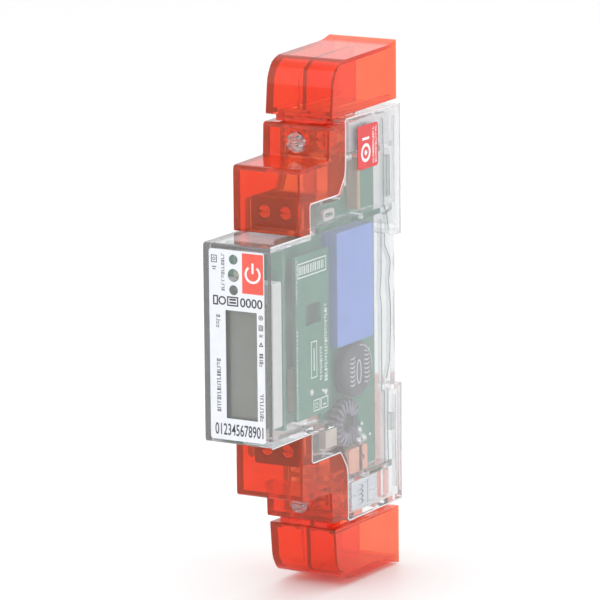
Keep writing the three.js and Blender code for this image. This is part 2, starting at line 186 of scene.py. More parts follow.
def relief(tree, shader, source, strength, depth):
    bump = tree.nodes.new("ShaderNodeBump")
    bump.inputs["Strength"].default_value = strength
    bump.inputs["Distance"].default_value = depth
    tree.links.new(source, bump.inputs["Height"])
    tree.links.new(bump.outputs[0], shader.inputs["Normal"])


# how a plain surface varies between its two tints and round its roughness
plainGrain = {
    "detail": 4.0, "from": 0.3, "to": 0.7, "roughSpread": 0.1, "smoothest": 0.03,
    "relief": 0.4, "depth": 0.00002,
}


def solidFinish(name, dark, light, rough, scale, metallic=0.0, coat=0.0, stretch=(1.0, 1.0, 1.0)):
    finish, tree, shader, out = newFinish(name)
    look = plainGrain
    noise = grain(tree, scale, look["detail"], stretch)
    tint = ramp(tree, noise.outputs[0], [(look["from"], dark), (look["to"], light)])
    tree.links.new(tint.outputs[0], shader.inputs["Base Color"])
    reach = look["roughSpread"]
    gloss = spread(tree, noise.outputs[0], max(rough - reach, look["smoothest"]), rough + reach)
    tree.links.new(gloss.outputs[0], shader.inputs["Roughness"])
    shader.inputs["Metallic"].default_value = metallic
    shader.inputs["Coat Weight"].default_value = coat
    relief(tree, shader, noise.outputs[0], look["relief"], look["depth"])
    return finish


# see-through plastics: milk is the share that scatters, lamplight the share of the lamps' light let in
plasticFlow = {
    "scale": 160.0, "detail": 2.0, "from": 0.35, "to": 0.65,
    "relief": 0.05, "depth": 0.00003, "coatRough": 0.05, "deepFade": 0.0006,
}
clearLook = {
    "tint": [(0.92, 0.93, 0.94), (0.95, 0.955, 0.96)], "ior": 1.31, "rough": 0.02, "milk": 0.085,
    "depthColor": (0.78, 0.82, 0.86), "depthDensity": 22.0, "lamplight": (0.90, 0.91, 0.915), "coat": 0.5,
}
ribLook = {
    "tint": [(0.90, 0.90, 0.91), (0.94, 0.94, 0.95)], "ior": 1.5, "rough": 0.02, "milk": 0.04,
    "depthColor": (0.70, 0.70, 0.76), "depthDensity": 60.0, "lamplight": (0.90, 0.91, 0.915), "coat": 0.6,
}
# milky white bead: a painted highlight along the edge of the clear wall
rimHighlightLook = {
    "tint": [(0.94, 0.94, 0.96), (0.98, 0.98, 0.99)], "ior": 1.45, "rough": 0.05, "milk": 0.72,
    "depthColor": (0.78, 0.82, 0.86), "depthDensity": 22.0, "lamplight": (0.92, 0.93, 0.94), "coat": 1.0,
}
redLook = {
    "tint": [(1.0, 0.20, 0.06), (1.0, 0.23, 0.08)], "ior": 1.13, "rough": 0.02, "milk": 0.14,
    "depthColor": (0.955, 0.26, 0.34), "depthDensity": 320.0, "lamplight": (0.98, 0.80, 0.76), "coat": 0.6,
}
clipLook = {
    "tint": [(1.0, 0.64, 0.60), (1.0, 0.72, 0.68)], "ior": 1.3, "rough": 0.04, "milk": 0.16,
    "deepBelow": -0.0392, "deepTint": (1.0, 0.26, 0.17),                # the thick foot of the clip
    "depthColor": (0.985, 0.60, 0.50), "depthDensity": 30.0, "lamplight": (0.98, 0.74, 0.70), "coat": 0.6,
}


def seeThroughFinish(name, look):
    finish, tree, shader, out = newFinish(name)
    flow = grain(tree, plasticFlow["scale"], plasticFlow["detail"])
    dark, light = look["tint"]
    tint = ramp(tree, flow.outputs[0], [(plasticFlow["from"], dark), (plasticFlow["to"], light)])
    tree.links.new(tint.outputs[0], shader.inputs["Base Color"])
    if "deepBelow" in look:
        coords = tree.nodes.new("ShaderNodeTexCoord")
        split = tree.nodes.new("ShaderNodeSeparateXYZ")
        tree.links.new(coords.outputs["Object"], split.inputs[0])
        height = tree.nodes.new("ShaderNodeMapRange")
        height.inputs["From Min"].default_value = look["deepBelow"]
        height.inputs["From Max"].default_value = look["deepBelow"] + plasticFlow["deepFade"]
        tree.links.new(split.outputs["Z"], height.inputs["Value"])
        blend = tree.nodes.new("ShaderNodeMix")
        blend.data_type = "RGBA"
        blend.inputs["A"].default_value = (*look["deepTint"], 1.0)
        tree.links.new(height.outputs[0], blend.inputs["Factor"])
        tree.links.new(tint.outputs[0], blend.inputs["B"])
        tree.links.new(blend.outputs["Result"], shader.inputs["Base Color"])
    shader.inputs["Transmission Weight"].default_value = 1.0 - look["milk"]
    shader.inputs["IOR"].default_value = look["ior"]
    shader.inputs["Roughness"].default_value = look["rough"]
    shader.inputs["Coat Weight"].default_value = look["coat"]
    shader.inputs["Coat Roughness"].default_value = plasticFlow["coatRough"]
    relief(tree, shader, flow.outputs[0], plasticFlow["relief"], plasticFlow["depth"])
    # lamps reach what stands behind the wall
    clear = tree.nodes.new("ShaderNodeBsdfTransparent")
    clear.inputs["Color"].default_value = (*look["lamplight"], 1.0)
    rays = tree.nodes.new("ShaderNodeLightPath")
    mix = tree.nodes.new("ShaderNodeMixShader")
    tree.links.new(rays.outputs["Is Shadow Ray"], mix.inputs[0])
    tree.links.new(shader.outputs[0], mix.inputs[1])
    tree.links.new(clear.outputs[0], mix.inputs[2])
    tree.links.new(mix.outputs[0], out.inputs["Surface"])
    depth = tree.nodes.new("ShaderNodeVolumeAbsorption")
    depth.inputs["Color"].default_value = (*look["depthColor"], 1.0)
    depth.inputs["Density"].default_value = look["depthDensity"]
    tree.links.new(depth.outputs[0], out.inputs["Volume"])
    return finish


boardLook = {
    "mask": [(0.02, 0.215, 0.12), (0.03, 0.245, 0.145)], "trackStep": 150.0, "trackEdge": 0.45,
    "cloudScale": 110.0, "cloudFrom": 0.3, "cloudTo": 0.7, "cloudShare": 0.35,
    "rough": 0.38, "coat": 0.15, "relief": 0.05, "depth": 0.00002,
}


def boardFinish(look):
    finish, tree, shader, out = newFinish("boardMask")
    coords = tree.nodes.new("ShaderNodeTexCoord")
    tracks = tree.nodes.new("ShaderNodeTexVoronoi")
    tracks.distance = "CHEBYCHEV"
    tracks.inputs["Scale"].default_value = look["trackStep"]
    tree.links.new(coords.outputs["Object"], tracks.inputs["Vector"])
    dark, light = look["mask"]
    edge = ramp(tree, tracks.outputs["Distance"], [(0.0, dark), (look["trackEdge"], light)])
    edge.color_ramp.interpolation = "CONSTANT"
    noise = grain(tree, look["cloudScale"])
    mix = tree.nodes.new("ShaderNodeMix")
    mix.data_type = "RGBA"
    mix.inputs["Factor"].default_value = look["cloudShare"]
    cloud = ramp(tree, noise.outputs[0], [(look["cloudFrom"], dark), (look["cloudTo"], light)])
    tree.links.new(edge.outputs[0], mix.inputs["A"])
    tree.links.new(cloud.outputs[0], mix.inputs["B"])
    tree.links.new(mix.outputs["Result"], shader.inputs["Base Color"])
    shader.inputs["Roughness"].default_value = look["rough"]
    shader.inputs["Coat Weight"].default_value = look["coat"]
    relief(tree, shader, noise.outputs[0], look["relief"], look["depth"])
    return finish


displayLook = {
    # tints from the bottom to the top of the glass
    "tint": [(0.0, (0.145, 0.155, 0.108)), (0.55, (0.13, 0.145, 0.105)), (1.0, (0.11, 0.12, 0.058))],
    "rough": 0.14, "grain": 220.0, "relief": 0.05, "depth": 0.00001,
}


def displayFinish(look):
    finish, tree, shader, out = newFinish("displayGlass")
    coords = tree.nodes.new("ShaderNodeTexCoord")
    split = tree.nodes.new("ShaderNodeSeparateXYZ")
    tree.links.new(coords.outputs["Generated"], split.inputs[0])
    tint = ramp(tree, split.outputs["Z"], look["tint"])
    tree.links.new(tint.outputs[0], shader.inputs["Base Color"])
    shader.inputs["Roughness"].default_value = look["rough"]
    noise = grain(tree, look["grain"])
    relief(tree, shader, noise.outputs[0], look["relief"], look["depth"])
    return finish


floorLook = {
    "tint": [(0.3, (0.93, 0.93, 0.93)), (0.7, (0.95, 0.95, 0.95))],
    "grain": 4.0, "rough": 0.45, "specular": 0.25,
}


def floorFinish(look):
    finish, tree, shader, out = newFinish("studioFloor")
    noise = grain(tree, look["grain"])
    tint = ramp(tree, noise.outputs[0], look["tint"])
    tree.links.new(tint.outputs[0], shader.inputs["Base Color"])
    shader.inputs["Roughness"].default_value = look["rough"]
    shader.inputs["Specular IOR Level"].default_value = look["specular"]
    return finish


clearBody = seeThroughFinish("clearBody", clearLook)
clearRed = seeThroughFinish("clearRed", redLook)
clearRib = seeThroughFinish("clearRib", ribLook)
clipPink = seeThroughFinish("clipPink", clipLook)
rimHighlight = seeThroughFinish("rimHighlight", rimHighlightLook)
# plain ones: dark tint, light tint, roughness, fineness of the grain
labelFilm = solidFinish("labelFilm", (0.76, 0.78, 0.83), (0.80, 0.82, 0.86), 0.4, 600.0)
inkBlack = solidFinish("inkBlack", (0.03, 0.03, 0.035), (0.06, 0.06, 0.065), 0.5, 900.0)
inkGrey = solidFinish("inkGrey", (0.10, 0.10, 0.11), (0.16, 0.16, 0.17), 0.5, 900.0)
inkRed = solidFinish("inkRed", (0.80, 0.10, 0.07), (0.86, 0.12, 0.09), 0.45, 700.0)
# white ink for the label and sticker print, also used for the painted highlights on the varistor disc
whiteInkAndHighlight = solidFinish("whiteInkAndHighlight", (0.80, 0.80, 0.82), (0.86, 0.86, 0.88), 0.5, 900.0)
silkWhite = solidFinish("silkWhite", (0.86, 0.92, 0.89), (0.94, 0.98, 0.96), 0.6, 1500.0)
stickerFilm = solidFinish("stickerFilm", (0.68, 0.05, 0.05), (0.76, 0.07, 0.07), 0.4, 500.0)
whiteFrame = solidFinish("whiteFrame", (0.78, 0.78, 0.77), (0.84, 0.84, 0.83), 0.5, 400.0)
boardMask = boardFinish(boardLook)
displayGlass = displayFinish(displayLook)
displayShade = solidFinish("displayShade", (0.09, 0.095, 0.075), (0.13, 0.135, 0.11), 0.4, 900.0)
darkLens = solidFinish("darkLens", (0.10, 0.14, 0.12), (0.16, 0.20, 0.18), 0.15, 300.0, coat=0.5)
paleLens = solidFinish("paleLens", (0.50, 0.50, 0.36), (0.66, 0.64, 0.46), 0.18, 300.0, coat=0.5)
tanPlastic = solidFinish("tanPlastic", (0.40, 0.30, 0.17), (0.50, 0.38, 0.23), 0.5, 400.0)
blackResin = solidFinish("blackResin", (0.03, 0.03, 0.034), (0.05, 0.05, 0.055), 0.45, 500.0)
leadSleeve = solidFinish("leadSleeve", (0.70, 0.71, 0.68), (0.78, 0.79, 0.76), 0.4, 500.0)
blueResin = solidFinish("blueResin", (0.165, 0.30, 0.78), (0.19, 0.33, 0.84), 0.35, 160.0, coat=0.2)
varistorCoat = solidFinish("varistorCoat", (0.055, 0.065, 0.085), (0.085, 0.095, 0.12), 0.38, 700.0)
ferriteBlack = solidFinish("ferriteBlack", (0.035, 0.04, 0.045), (0.06, 0.065, 0.07), 0.5, 700.0)
enamelWire = solidFinish(
    "enamelWire", (0.13, 0.11, 0.17), (0.30, 0.27, 0.36), 0.2, 260.0, metallic=0.6, coat=0.8)
paleCeramic = solidFinish("paleCeramic", (0.62, 0.50, 0.43), (0.72, 0.60, 0.53), 0.55, 500.0)
alongBars = (1.0, 1.0, 0.1)
alongClamps = (1.0, 0.2, 1.0)
rolledCopper = solidFinish(
    "rolledCopper", (0.96, 0.40, 0.25), (1.0, 0.48, 0.33), 0.45, 900.0, metallic=0.08, stretch=alongBars)
rolledBrass = solidFinish(
    "rolledBrass", (0.50, 0.35, 0.17), (0.64, 0.46, 0.24), 0.45, 900.0, metallic=0.3, stretch=alongBars)
zincSteel = solidFinish(
    "zincSteel", (0.72, 0.76, 0.81), (0.86, 0.90, 0.94), 0.3, 900.0, metallic=0.55, stretch=alongClamps)
solderTin = solidFinish("solderTin", (0.68, 0.70, 0.71), (0.80, 0.82, 0.83), 0.2, 600.0, metallic=0.9)
terminalGreen = solidFinish("terminalGreen", (0.045, 0.05, 0.025), (0.07, 0.08, 0.035), 0.45, 500.0)

finishOf = {
    "clear_plastic": clearBody, "red_plastic": clearRed, "label_white": labelFilm, "sticker_red": stickerFilm,
    "reflector_white": whiteFrame, "board_green": boardMask, "display_grey": displayGlass,
    "dark_lens": darkLens, "light_lens": paleLens, "header_tan": tanPlastic, "black_resin": blackResin,
    "capacitor_blue": blueResin, "varistor_grey": varistorCoat, "ferrite": ferriteBlack,
    "winding_copper": enamelWire, "resistor_beige": paleCeramic, "bar_copper": rolledCopper,
    "bar_brass": rolledBrass, "steel": zincSteel, "signal_green": terminalGreen, "lead_white": leadSleeve,
}

# how far each kind of edge is softened, in millimetres
edgeSoftness = {
    "clear_plastic": 0.22, "red_plastic": 0.25, "capacitor_blue": 0.25, "resistor_beige": 0.9,
    "steel": 0.12, "bar_copper": 0.15, "bar_brass": 0.15, "signal_green": 0.15, "header_tan": 0.1,
    "black_resin": 0.2, "reflector_white": 0.15, "board_green": 0.05, "display_grey": 0.08,
}
edgeSteps = {"resistor_beige": 4}
sharpAngle = 50.0       # degrees; flatter edges stay as they are


def softEdges(piece, width, steps=2):
    bevel = piece.modifiers.new("soft edges", "BEVEL")
    bevel.width = width * mm
    bevel.segments = steps
    bevel.limit_method = "ANGLE"
    bevel.angle_limit = math.radians(sharpAngle)
    bevel.use_clamp_overlap = True


def dressNodes():
    for entry in frame["record"]["subparts"]:
        piece = nodes[entry["node"]]
        slot = entry["material_slot"]
        piece.data.materials.clear()
        piece.data.materials.append(clipPink if entry["node"] == "rail_clip" else finishOf[slot])
        if slot in edgeSoftness:
            softEdges(piece, edgeSoftness[slot], edgeSteps.get(slot, 2))


# flat marks: closed outlines in millimetres, laid on a face as thin raised print

# one lay is in x and z, seen from -Y, and the other in y and z, seen from +X
facing = Matrix(((1, 0, 0, 0), (0, 0, -1, 0), (0, 1, 0, 0), (0, 0, 0, 1)))
sideways = Matrix(((0, 0, 1, 0), (1, 0, 0, 0), (0, 1, 0, 0), (0, 0, 0, 1)))


def bar(a0, b0, a1, b1):
    return [(a0, b0), (a1, b0), (a1, b1), (a0, b1)]


def ellipse(a, b, radiusA, radiusB=None, sides=32):
    radiusB = radiusB or radiusA
    turns = [2.0 * math.pi * k / sides for k in range(sides)]
    return [(a + radiusA * math.cos(t), b + radiusB * math.sin(t)) for t in turns]


def arc(a, b, radiusA, radiusB, start, sweep, steps):
    turns = [math.radians(start + sweep * k / steps) for k in range(steps + 1)]
    return [(a + radiusA * math.cos(t), b + radiusB * math.sin(t)) for t in turns]


def ring(a, b, radius, line, radiusB=None):
    radiusB = radiusB or radius
    return [ellipse(a, b, radius, radiusB), ellipse(a, b, radius - line, radiusB - line)]


def frameLine(a0, b0, a1, b1, line):
    return [bar(a0, b0, a1, b1), bar(a0 + line, b0 + line, a1 - line, b1 - line)]


def roundedBar(a0, b0, a1, b1, radius, steps=6):
    corners = [(a1 - radius, b1 - radius, 0), (a0 + radius, b1 - radius, 90),
               (a0 + radius, b0 + radius, 180), (a1 - radius, b0 + radius, 270)]
    points = []
    for a, b, start in corners:
        points += arc(a, b, radius, radius, start, 90.0, steps)
    return points


def peak(a0, b0, a1, b1):
    return [(a0, b0), (a1, b0), ((a0 + a1) / 2.0, b1)]


# strokes that stand for a line of small print: they spell nothing
strokeLook = {
    "steps": (0.62, 0.72, 0.8), "gap": 0.2, "tail": 0.5,     # along the line
    "dot": (0.16, 0.34), "middle": 0.45, "notch": 0.1,
}


def smallStrokes(a, b, length, height, seed, weight=0.17):
    # the line runs upwards from (a, b)
    look = strokeLook
    dice = random.Random(seed)
    loops = []
    at = 0.0
    while at < length - look["tail"]:
        step = dice.choice(look["steps"])
        kind = dice.randrange(4)
        low = b + at
        high = low + step - look["gap"]
        right = a + height
        if kind == 0:
            dotLow, dotHigh = look["dot"]
            loops.append(bar(a, low, right, low + weight))
            loops.append(bar(a, low + weight + dotLow, a + weight, low + weight + dotHigh))
        elif kind == 1:
            loops += frameLine(a, low, right, high, weight)
        elif kind == 2:
            middle = a + height * look["middle"]
            loops.append(bar(a, low, a + weight, high))
            loops.append(bar(middle, low, middle + weight, high))
        else:
            loops.append(bar(a, low, right, low + weight))
            loops.append(bar(right - weight, low + weight + look["notch"], right, high))
        at += step
    return loops


def drawMarks(rows):
    # each row is a kind of mark and then its numbers
    loops = []
    for kind, *numbers in rows:
        if kind == "bar":
            loops.append(bar(*numbers))
        elif kind == "dot":
            loops.append(ellipse(*numbers))
        elif kind == "peak":
            loops.append(peak(*numbers))
        elif kind == "frame":
            loops += frameLine(*numbers)
        elif kind == "ring":
            loops += ring(*numbers)
        elif kind == "strokes":
            loops += smallStrokes(*numbers)
    return loops


def meshOf(name, data):
    # a curve or a text turned into a plain mesh
    holder = bpy.data.objects.new(name, data)
    scene.collection.objects.link(holder)
    bpy.context.view_layer.update()
    mesh = bpy.data.meshes.new_from_object(holder)
    bpy.data.objects.remove(holder)
    return mesh


def lieOn(mesh, lay, level, thickness):
    normal = lay.to_3x3() @ Vector((0.0, 0.0, 1.0))
    mesh.transform(Matrix.Translation(normal * (level + thickness / 2.0) * mm) @ lay)


def addPiece(name, mesh, finish, body="meter"):
    mesh.materials.clear()
    mesh.materials.append(finish)
    piece = bpy.data.objects.new(name, mesh)
    scene.collection.objects.link(piece)
    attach(piece, body)
    return piece


def markPiece(name, loops, lay, level, thickness, finish, body="meter"):
    data = bpy.data.curves.new(name, "CURVE")
    data.dimensions = "2D"
    data.fill_mode = "BOTH"
    data.extrude = thickness * mm / 2.0
    for loop in loops:
        spline = data.splines.new("POLY")
        spline.points.add(len(loop) - 1)
        spline.use_cyclic_u = True
        for point, (a, b) in zip(spline.points, loop):
            point.co = (a * mm, b * mm, 0.0, 1.0)
    mesh = meshOf(name, data)
    lieOn(mesh, lay, level, thickness)
    return addPiece(name, mesh, finish, body)


# type size for the height of a digit, and the millimetres that each stroke gains
digitLook = {"fontScale": 1.42, "bolder": 0.03}


def digitRow(name, row, lay, level, thickness, finish):
    wide, tall = row["size"]
    data = bpy.data.curves.new(name, "FONT")
    data.body = row["text"]
    data.size = tall * digitLook["fontScale"] * mm
    data.extrude = thickness * mm / 2.0
    data.offset = digitLook["bolder"] * mm
    mesh = meshOf(name, data)
    low = [min(v.co[k] for v in mesh.vertices) for k in range(2)]
    high = [max(v.co[k] for v in mesh.vertices) for k in range(2)]
    scaleA = wide * mm / (high[0] - low[0])
    scaleB = tall * mm / (high[1] - low[1])
    for v in mesh.vertices:
        v.co.x = row["at"][0] * mm + (v.co.x - low[0]) * scaleA
        v.co.y = row["at"][1] * mm + (v.co.y - low[1]) * scaleB
    lieOn(mesh, lay, level, thickness)
    return addPiece(name, mesh, finish)


# front label

labelLook = {
    "corner": 0.6, "film": 0.11, "ink": 0.025,
    "window": (-3.0, -17.0, 5.2, 8.0),
    "lights": [(-0.8, 19.7, 1.15), (-0.8, 16.1, 1.5), (-0.8, 12.7, 1.15)],
    "redField": (1.5, 12.2, 7.0, 21.4),
    # power sign: an open ring with an upright bar in its gap; its turns are in degrees
    "switchSign": {"at": (4.25, 16.7), "radius": 2.1, "line": 0.55, "from": 125, "sweep": 290, "steps": 30,
                   "stemFrom": 0.2, "stemPast": 0.5, "ink": 0.8},
    "signs": [
        ("frame", -6.2, 9.0, -4.9, 11.2, 0.32), ("ring", -3.8, 10.1, 1.0, 0.34),
        ("frame", -2.5, 9.0, 0.4, 11.2, 0.3), ("bar", -1.9, 9.6, -0.2, 10.0), ("bar", -1.9, 10.3, -0.2, 10.7),
        ("ring", 6.25, 7.0, 0.55, 0.16), ("dot", 6.25, 7.0, 0.2),
        ("frame", 5.7, 4.0, 6.8, 5.3, 0.15), ("frame", 5.98, 4.3, 6.52, 5.0, 0.12),
        ("bar", 5.8, 2.6, 6.7, 2.8), ("bar", 5.8, 3.0, 6.7, 3.15),
        ("peak", 5.7, 0.4, 6.8, 1.5), ("peak", 6.0, 0.6, 6.5, 1.1),
        ("frame", -6.6, 18.7, -5.1, 20.4, 0.16), ("ring", -5.85, 19.55, 0.4, 0.14),
        ("bar", -6.4, 17.6, -5.3, 17.8), ("bar", -6.2, 17.1, -5.5, 17.3),
    ],
    "smallPrint": [
        ("strokes", -3.95, 12.4, 8.6, 0.8, 3), ("strokes", -5.4, 3.8, 3.4, 1.0, 5, 0.2),
        ("strokes", -5.4, -15.6, 12.2, 1.0, 7, 0.2), ("strokes", 5.8, -4.2, 3.6, 0.95, 8, 0.2),
        ("strokes", 5.8, -16.8, 7.0, 0.95, 9, 0.2),
    ],
    "digitsLow": {"text": "012345678901", "at": (-6.0, -20.9), "size": (12.6, 2.7)},
    "digitsHigh": {"text": "0000", "at": (0.9, 9.0), "size": (5.8, 2.1)},
}


def buildSwitchSign(look):
    x, z = look["at"]
    radius, line = look["radius"], look["line"]
    turn = (look["from"], look["sweep"], look["steps"])
    outer = arc(x, z, radius, radius, *turn)
    inner = arc(x, z, radius - line, radius - line, *turn)
    stem = bar(x - line / 2, z + look["stemFrom"], x + line / 2, z + radius + look["stemPast"])
    return [outer + inner[::-1], stem]


def buildLabel(look):
    low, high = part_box("front_label")
    left, right = low[0] / mm, high[0] / mm
    bottom, top = low[2] / mm, high[2] / mm
    filmLevel = -high[1] / mm
    inkLevel = filmLevel + look["film"]
    ink = look["ink"]
    film = [roundedBar(left, bottom, right, top, look["corner"]), bar(*look["window"])]
    film += [ellipse(*light) for light in look["lights"]]
    sheet = markPiece("label_film", film, facing, filmLevel, look["film"], labelFilm)
    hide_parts("front_label")

    sign = buildSwitchSign(look["switchSign"])
    field = [bar(*look["redField"])] + sign
    markPiece("label_red_field", field, facing, inkLevel, ink, inkRed)
    thin = ink * look["switchSign"]["ink"]
    markPiece("label_switch_sign", sign, facing, inkLevel, thin, whiteInkAndHighlight)
    signs = drawMarks(look["signs"])
    markPiece("label_signs", signs, facing, inkLevel, ink, inkBlack)
    small = drawMarks(look["smallPrint"])
    markPiece("label_small_print", small, facing, inkLevel, ink, inkGrey)
    for name, row in (("label_digits_low", look["digitsLow"]), ("label_digits_high", look["digitsHigh"])):
        digitRow(name, row, facing, inkLevel, ink, inkBlack)


# side sticker

stickerLook = {
    "corner": 0.9, "film": 0.09, "ink": 0.025,
    "marks": [
        ("ring", -13.3, 38.0, 2.2, 0.75), ("dot", -13.3, 38.0, 0.6), ("bar", -14.9, 41.0, -11.7, 41.6),
        ("strokes", -10.2, 35.2, 8.6, 0.75, 21, 0.2), ("strokes", -8.9, 35.2, 8.6, 0.65, 22, 0.2),
    ],
}


def buildSticker(look):
    low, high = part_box("side_sticker")
    film = [roundedBar(low[1] / mm, low[2] / mm, high[1] / mm, high[2] / mm, look["corner"])]
    level = low[0] / mm
    sheet = markPiece("sticker_film", film, sideways, level, look["film"], stickerFilm)
    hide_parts("side_sticker")
    marks = drawMarks(look["marks"])
    level += look["film"]
    markPiece("sticker_print", marks, sideways, level, look["ink"], whiteInkAndHighlight)


# boards: printed marks, pads and solder

boardMarks = {
    "level": 7.1, "ink": 0.02,
    # framed row of plain upright bars near the top
    "rowFrame": (-42.9, 13.4, -30.0, 16.9), "rowLine": 0.3, "rowSteps": (0.7, 0.9, 1.1), "rowSeed": 31,
    "rowFrom": 0.6, "rowTo": 1.0, "rowInset": 0.75, "rowFill": 0.5,
    "marks": [
        ("frame", -37.15, -10.7, -34.45, -2.1, 0.26), ("bar", -36.0, -9.0, -35.6, -3.8),
        ("strokes", -31.0, -12.4, 18.2, 1.2, 33, 0.26), ("strokes", -33.2, -11.8, 8.6, 1.1, 34, 0.24),
        ("frame", -36.2, -18.6, -33.2, -15.9, 0.26), ("frame", -32.9, -18.6, -29.6, -15.9, 0.26),
        ("frame", -35.4, -17.9, -34.2, -16.7, 0.16), ("bar", -31.9, -17.8, -30.6, -17.5),
    ],
    # column of pads along the front edge, with a gap in it
    "padsAt": -43.35, "padsFrom": -18.6, "padsTo": 17.6, "padGap": (1.4, 7.2),
    "padPitch": 0.95, "padRadius": 0.3, "padSides": 12,
}


def buildBoardMarks(look):
    silk = frameLine(*look["rowFrame"], look["rowLine"])
    y0, z0, y1, z1 = look["rowFrame"]
    inset = look["rowInset"]
    dice = random.Random(look["rowSeed"])
    at = y0 + look["rowFrom"]
    while at < y1 - look["rowTo"]:
        step = dice.choice(look["rowSteps"])
        silk.append(bar(at, z0 + inset, at + step * look["rowFill"], z1 - inset))
        at += step
    silk += drawMarks(look["marks"])
    markPiece("interface_board_print", silk, sideways, look["level"], look["ink"], silkWhite)
    gapLow, gapHigh = look["padGap"]
    pads = []
    z = look["padsFrom"]
    while z < look["padsTo"]:
        if z < gapLow or z > gapHigh:
            pads.append(ellipse(look["padsAt"], z, look["padRadius"], None, look["padSides"]))
        z += look["padPitch"]
    markPiece("interface_board_pads", pads, sideways, look["level"], look["ink"], solderTin)


solderLook = {
    # middle in x, y, z, then radius and height, on a face that looks to +X
    "interface_board_solder": [(7.08, -36.9, -13.9, 0.85, 0.35), (7.08, -30.6, -14.9, 0.85, 0.35),
                               (7.08, -31.9, -14.4, 0.5, 0.3)],
    "main_board_solder": [(3.68, -9.6, 26.2, 0.55, 0.4), (3.68, -11.0, 26.8, 0.4, 0.3),
                          (3.68, -9.2, 33.0, 0.5, 0.4), (3.68, -10.6, -8.6, 0.4, 0.3),
                          (3.68, -4.4, -30.6, 0.45, 0.3), (3.68, -4.6, 12.0, 0.4, 0.3)],
    "lower_bar_solder": [(3.68, -10.4, -28.4, 1.0, 1.3), (3.68, -9.3, -30.4, 1.3, 1.9),
                         (3.68, -11.2, -30.9, 1.2, 1.6), (3.68, -8.9, -27.2, 0.6, 0.8)],
}
domeLook = {"rings": 6, "sides": 16, "waves": 3.0, "wobble": 0.1, "shift": 0.3, "firstSeed": 50}


def solderDome(bm, x, y, z, radius, height, seed):
    dice = random.Random(seed)
    rings, sides = domeLook["rings"], domeLook["sides"]
    rows = []
    for r in range(rings):
        t = (r / rings) * math.pi / 2.0
        row = []
        for s in range(sides):
            a = 2.0 * math.pi * s / sides
            wave = math.sin(domeLook["waves"] * a + dice.random() * domeLook["shift"])
            wobble = 1.0 + domeLook["wobble"] * wave * (1.0 - r / rings)
            spreadOut = radius * math.cos(t) * wobble
            row.append(bm.verts.new(((x + height * math.sin(t)) * mm,
                                     (y + spreadOut * math.cos(a)) * mm,
                                     (z + spreadOut * math.sin(a)) * mm)))
        rows.append(row)
    top = bm.verts.new(((x + height) * mm, y * mm, z * mm))
    for r in range(rings - 1):
        for s in range(sides):
            n = (s + 1) % sides
            bm.faces.new((rows[r][s], rows[r][n], rows[r + 1][n], rows[r + 1][s]))
    for s in range(sides):
        bm.faces.new((rows[-1][s], rows[-1][(s + 1) % sides], top))
    bm.faces.new(rows[0][::-1])


def buildSolder(look):
    for name, domes in look.items():
        bm = bmesh.new()
        for index, dome in enumerate(domes):
            solderDome(bm, *dome, domeLook["firstSeed"] + index)
        finishMesh(name, bm, solderTin)


def finishMesh(name, bm, finish, smooth=True):
    bmesh.ops.recalc_face_normals(bm, faces=bm.faces)
    mesh = bpy.data.meshes.new(name)
    bm.to_mesh(mesh)
    bm.free()
    for face in mesh.polygons:
        face.use_smooth = smooth
    return addPiece(name, mesh, finish)


# display: a strip of painted shadow along two of its edges, where the label's thickness shades the glass, and
# a column of dots

displayEdge = {
    "window": (-2.95, -16.95, 5.15, 7.95), "ink": 0.02,
    "line": 0.32, "past": 0.3, "gap": 0.05, "topShare": 1.4,
    "dotsAt": 4.7, "dotPitch": 0.8, "dot": (0.28, 0.4), "dotsFrom": 0.6, "dotsTo": 0.8,
}


def buildDisplayEdge(look):
    a0, b0, a1, b1 = look["window"]
    level = -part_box("display_glass")[0][1] / mm
    line, past = look["line"], look["past"]
    # painted shadow: a dark strip down the left side and along the top of the glass
    side = bar(a0 - past, b0 - past, a0 + line, b1 + past)
    top = bar(a0 + line + look["gap"], b1 - line * look["topShare"], a1, b1 + past)
    markPiece("display_painted_shadow", [side, top], facing, level, look["ink"], displayShade)
    wide, tall = look["dot"]
    dots = []
    z = b0 + look["dotsFrom"]
    while z < b1 - look["dotsTo"]:
        dots.append(bar(look["dotsAt"], z, look["dotsAt"] + wide, z + tall))
        z += look["dotPitch"]
    markPiece("display_dots", dots, facing, level, look["ink"], displayShade)


# clamp cages: dark curved lines and the slot that show on their outer sides

clampMarks = {
    "left": -18.0, "first": 1.4, "pitch": 1.15, "count": 4, "reach": 4.6, "rise": 0.9,
    "from": -60, "sweep": 120, "steps": 10,                 # turns in degrees
    "line": 0.32, "belly": 0.5, "ink": 0.02,
    "slot": (-11.6, 0.6, -11.3, 6.0),                       # y, z, y, z, from the foot of the cage
}


def buildClampMarks(look):
    turn = (look["from"], look["sweep"], look["steps"])
    for end in ("upper", "lower"):
        low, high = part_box(end + "_right_clamp")
        z0 = low[2] / mm
        loops = []
        for k in range(look["count"]):
            base = z0 + look["first"] + k * look["pitch"]
            out = arc(look["left"], base, look["reach"], look["rise"], *turn)
            back = [(a - look["line"] - look["belly"] * (1 - abs(b - base)), b) for a, b in out[::-1]]
            loops.append(out + back)
        a0, b0, a1, b1 = look["slot"]
        loops.append(bar(a0, z0 + b0, a1, z0 + b1))
        markPiece(end + "_right_clamp_curls", loops, sideways, high[0] / mm, look["ink"], inkGrey,
                  end + "_right_cage")


# turned shapes: a profile of (along, radius) spun round an axis

quarterTurn = [math.radians(t) for t in range(0, 91, 10)]


def turnedMesh(profile, axis, center, sides=40):
    bm = bmesh.new()
    rows = []
    for along, radius in profile:
        row = []
        for s in range(sides):
            a = 2.0 * math.pi * s / sides
            u = center[0] + radius * math.cos(a)
            v = center[1] + radius * math.sin(a)
            place = (along, u, v) if axis == "x" else (u, along, v)
            row.append(bm.verts.new([value * mm for value in place]))
        rows.append(row)
    for one, two in zip(rows, rows[1:]):
        for s in range(sides):
            n = (s + 1) % sides
            bm.faces.new((one[s], one[n], two[n], two[s]))
    bm.faces.new(rows[0][::-1])
    bm.faces.new(rows[-1])
    return bm


